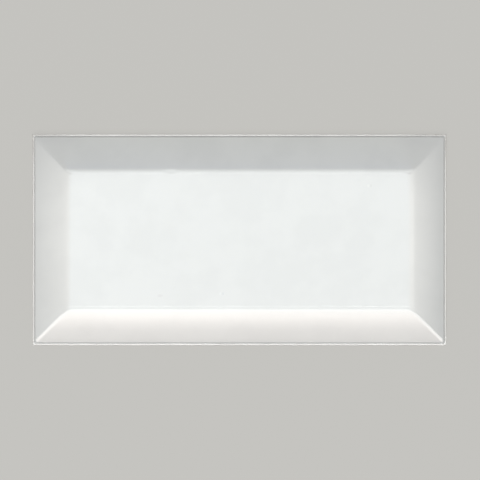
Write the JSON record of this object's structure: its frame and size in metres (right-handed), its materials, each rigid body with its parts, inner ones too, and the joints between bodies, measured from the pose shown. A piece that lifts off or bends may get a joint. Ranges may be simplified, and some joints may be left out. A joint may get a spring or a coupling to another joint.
{
  "type": "bevelled subway wall tile",
  "caption": "Rectangular glazed ceramic wall tile with a raised flat field, mitred sloping edges and a back keyed for adhesive.",
  "frame": {"origin": "middle of the back, on the plane that beds on the wall", "axes": "+X along the length, +Y across the width, +Z out of the glazed face; the tile lies face up"},
  "size_m": [0.15, 0.0764, 0.008],
  "materials": {
    "white_glaze": "gloss white glaze on the face and upper edges, bare pale biscuit on the lower edges and back"
  },
  "bodies": {
    "root": {"bevelled_tile": "white_glaze"}
  },
  "joints": []
}
